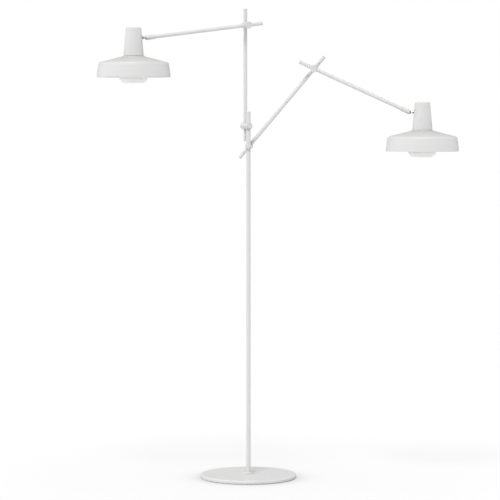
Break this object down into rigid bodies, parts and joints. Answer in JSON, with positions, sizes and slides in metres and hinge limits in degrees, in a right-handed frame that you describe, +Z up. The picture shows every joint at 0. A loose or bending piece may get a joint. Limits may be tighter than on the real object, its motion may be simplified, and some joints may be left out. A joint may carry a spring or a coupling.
{
  "type": "floor lamp",
  "caption": "Two-branch floor lamp on a round base: clamped rods and sliding arms carry wide shades with opal diffusers on ball joints.",
  "frame": {"origin": "centre of the base pad's underside, on the floor", "axes": "+Z up along the post, +X to the right and +Y away from the front view"},
  "size_m": [1.1342, 0.3736, 1.49],
  "materials": {
    "base_paint": "satin powder coat",
    "tube_paint": "satin powder coat",
    "clamp_paint": "satin powder coat",
    "head_paint": "satin powder coat",
    "plastic": "moulded, fine matt",
    "ball_nickel": "satin nickel plate",
    "steel": "turned, bare",
    "pad_felt": "pressed felt",
    "opal_glass": "opal, satin outside",
    "bulb_glass": "frosted white",
    "holder_ceramic": "glazed"
  },
  "bodies": {
    "stand": {"base_plate": "base_paint", "base_pad": "pad_felt", "post_bolt": "steel", "post_collar": "tube_paint", "post_tube": "tube_paint", "post_cap": "plastic"},
    "left_lower_slider": {"left_lower_carrier_bush": "plastic"},
    "left_lower_carrier": {"left_lower_carrier_barrel": "clamp_paint", "left_lower_cap": "clamp_paint", "left_lower_plunger": "steel"},
    "left_lower_cradle": {"left_lower_cradle_barrel": "clamp_paint", "left_lower_cradle_bush": "plastic"},
    "left_lower_knob": {"left_lower_knob": "clamp_paint"},
    "left_rod": {"left_rod_tube": "tube_paint", "left_rod_bottom_plug": "plastic", "left_rod_top_plug": "plastic"},
    "left_upper_slider": {"left_upper_carrier_bush": "plastic"},
    "left_upper_carrier": {"left_upper_carrier_barrel": "clamp_paint", "left_upper_cap": "clamp_paint", "left_upper_plunger": "steel"},
    "left_upper_cradle": {"left_upper_cradle_barrel": "clamp_paint"},
    "left_upper_knob": {"left_upper_knob": "clamp_paint"},
    "left_upper_roller": {"left_upper_cradle_bush": "plastic"},
    "left_arm": {"left_arm_tube": "tube_paint", "left_arm_lead_bush": "plastic", "left_arm_socket": "tube_paint"},
    "left_ball": {"left_head_ball_stud": "ball_nickel"},
    "left_head": {"left_head_stem": "head_paint", "left_head_shade": "head_paint", "left_head_lamp_holder": "holder_ceramic", "left_head_shade_ring": "plastic", "left_head_diffuser": "opal_glass", "left_head_bulb": "bulb_glass"},
    "right_lower_slider": {"right_lower_carrier_bush": "plastic"},
    "right_lower_carrier": {"right_lower_carrier_barrel": "clamp_paint", "right_lower_cap": "clamp_paint", "right_lower_plunger": "steel"},
    "right_lower_cradle": {"right_lower_cradle_barrel": "clamp_paint", "right_lower_cradle_bush": "plastic"},
    "right_lower_knob": {"right_lower_knob": "clamp_paint"},
    "right_rod": {"right_rod_tube": "tube_paint", "right_rod_bottom_plug": "plastic", "right_rod_top_plug": "plastic"},
    "right_upper_slider": {"right_upper_carrier_bush": "plastic"},
    "right_upper_carrier": {"right_upper_carrier_barrel": "clamp_paint", "right_upper_cap": "clamp_paint", "right_upper_plunger": "steel"},
    "right_upper_cradle": {"right_upper_cradle_barrel": "clamp_paint"},
    "right_upper_knob": {"right_upper_knob": "clamp_paint"},
    "right_upper_roller": {"right_upper_cradle_bush": "plastic"},
    "right_arm": {"right_arm_tube": "tube_paint", "right_arm_lead_bush": "plastic", "right_arm_socket": "tube_paint"},
    "right_ball": {"right_head_ball_stud": "ball_nickel"},
    "right_head": {"right_head_stem": "head_paint", "right_head_shade": "head_paint", "right_head_lamp_holder": "holder_ceramic", "right_head_shade_ring": "plastic", "right_head_diffuser": "opal_glass", "right_head_bulb": "bulb_glass"}
  },
  "joints": [
    {"name": "left_post_height", "type": "slide", "parent": "stand", "child": "left_lower_slider", "axis": [0, 0, 1], "range_m": [-0.003, 0.025]},
    {"name": "left_post_turn", "type": "hinge", "parent": "left_lower_slider", "child": "left_lower_carrier", "pos_m": [0, 0, 1.12], "axis": [0, 0, 1], "range_deg": [-18, 90]},
    {"name": "left_rod_tilt", "type": "hinge", "parent": "left_lower_carrier", "child": "left_lower_cradle", "pos_m": [0, 0, 1.12], "axis": [-0.3907, 0.9205, 0], "range_deg": [-14, 30]},
    {"name": "left_lower_knob_turn", "type": "hinge", "parent": "left_lower_cradle", "child": "left_lower_knob", "pos_m": [0, 0, 1.12], "axis": [-0.3907, 0.9205, 0], "range_deg": [0, 180]},
    {"name": "left_rod_slide", "type": "slide", "parent": "left_lower_cradle", "child": "left_rod", "axis": [0, 0, 1], "range_m": [-0.003, 0.03]},
    {"name": "left_arm_height", "type": "slide", "parent": "left_rod", "child": "left_upper_slider", "axis": [0, 0, 1], "range_m": [-0.2, 0.038]},
    {"name": "left_arm_turn", "type": "hinge", "parent": "left_upper_slider", "child": "left_upper_carrier", "pos_m": [-0.00977, 0.02301, 1.4375], "axis": [0, 0, 1], "range_deg": [-80, 80]},
    {"name": "left_arm_tilt", "type": "hinge", "parent": "left_upper_carrier", "child": "left_upper_cradle", "pos_m": [-0.00977, 0.02301, 1.4375], "axis": [0.284, -0.9588, 0], "range_deg": [-50, 35]},
    {"name": "left_upper_knob_turn", "type": "hinge", "parent": "left_upper_cradle", "child": "left_upper_knob", "pos_m": [-0.00977, 0.02301, 1.4375], "axis": [0.284, -0.9588, 0], "range_deg": [0, 180]},
    {"name": "left_arm_roll", "type": "hinge", "parent": "left_upper_cradle", "child": "left_upper_roller", "pos_m": [-0.00267, -0.00096, 1.4375], "axis": [-0.9512, -0.2817, -0.1262], "range_deg": [-75, 75]},
    {"name": "left_arm_slide", "type": "slide", "parent": "left_upper_roller", "child": "left_arm", "axis": [-0.9512, -0.2817, -0.1262], "range_m": [-0.13, 0.034]},
    {"name": "left_head_nod", "type": "hinge", "parent": "left_arm", "child": "left_ball", "pos_m": [-0.3175, -0.09421, 1.39573], "axis": [0.284, -0.9588, 0], "range_deg": [-30, 45]},
    {"name": "left_head_swivel", "type": "hinge", "parent": "left_ball", "child": "left_head", "pos_m": [-0.3175, -0.09421, 1.39573], "axis": [-0.9588, -0.284, 0], "range_deg": [-90, 90]},
    {"name": "right_post_height", "type": "slide", "parent": "stand", "child": "right_lower_slider", "axis": [0, 0, 1], "range_m": [-0.75, 0.003]},
    {"name": "right_post_turn", "type": "hinge", "parent": "right_lower_slider", "child": "right_lower_carrier", "pos_m": [0, 0, 1.0555], "axis": [0, 0, 1], "range_deg": [-90, 15]},
    {"name": "right_rod_tilt", "type": "hinge", "parent": "right_lower_carrier", "child": "right_lower_cradle", "pos_m": [0, 0, 1.0555], "axis": [0.0872, 0.9962, 0], "range_deg": [-20, 45]},
    {"name": "right_lower_knob_turn", "type": "hinge", "parent": "right_lower_cradle", "child": "right_lower_knob", "pos_m": [0, 0, 1.0555], "axis": [0.0872, 0.9962, 0], "range_deg": [0, 180]},
    {"name": "right_rod_slide", "type": "slide", "parent": "right_lower_cradle", "child": "right_rod", "axis": [0.6417, -0.0561, 0.7649], "range_m": [-0.08, 0.03]},
    {"name": "right_arm_height", "type": "slide", "parent": "right_rod", "child": "right_upper_slider", "axis": [0.6417, -0.0561, 0.7649], "range_m": [-0.1, 0.036]},
    {"name": "right_arm_turn", "type": "hinge", "parent": "right_upper_slider", "child": "right_upper_carrier", "pos_m": [0.20816, 0.00688, 1.30104], "axis": [-0.6417, 0.0561, -0.7649], "range_deg": [-70, 75]},
    {"name": "right_arm_tilt", "type": "hinge", "parent": "right_upper_carrier", "child": "right_upper_cradle", "pos_m": [0.20816, 0.00688, 1.30104], "axis": [0.0872, 0.9962, 0], "range_deg": [-35, 35]},
    {"name": "right_upper_knob_turn", "type": "hinge", "parent": "right_upper_cradle", "child": "right_upper_knob", "pos_m": [0.20816, 0.00688, 1.30104], "axis": [-0.0872, -0.9962, 0], "range_deg": [0, 180]},
    {"name": "right_arm_roll", "type": "hinge", "parent": "right_upper_cradle", "child": "right_upper_roller", "pos_m": [0.20598, -0.01802, 1.30104], "axis": [0.9065, -0.0793, -0.4147], "range_deg": [-75, 75]},
    {"name": "right_arm_slide", "type": "slide", "parent": "right_upper_roller", "child": "right_arm", "axis": [0.9065, -0.0793, -0.4147], "range_m": [-0.1, 0.034]},
    {"name": "right_head_nod", "type": "hinge", "parent": "right_arm", "child": "right_ball", "pos_m": [0.50557, -0.04423, 1.16398], "axis": [0.0872, 0.9962, 0], "range_deg": [-12, 60]},
    {"name": "right_head_swivel", "type": "hinge", "parent": "right_ball", "child": "right_head", "pos_m": [0.50557, -0.04423, 1.16398], "axis": [0.9962, -0.0872, 0], "range_deg": [-90, 90]}
  ]
}
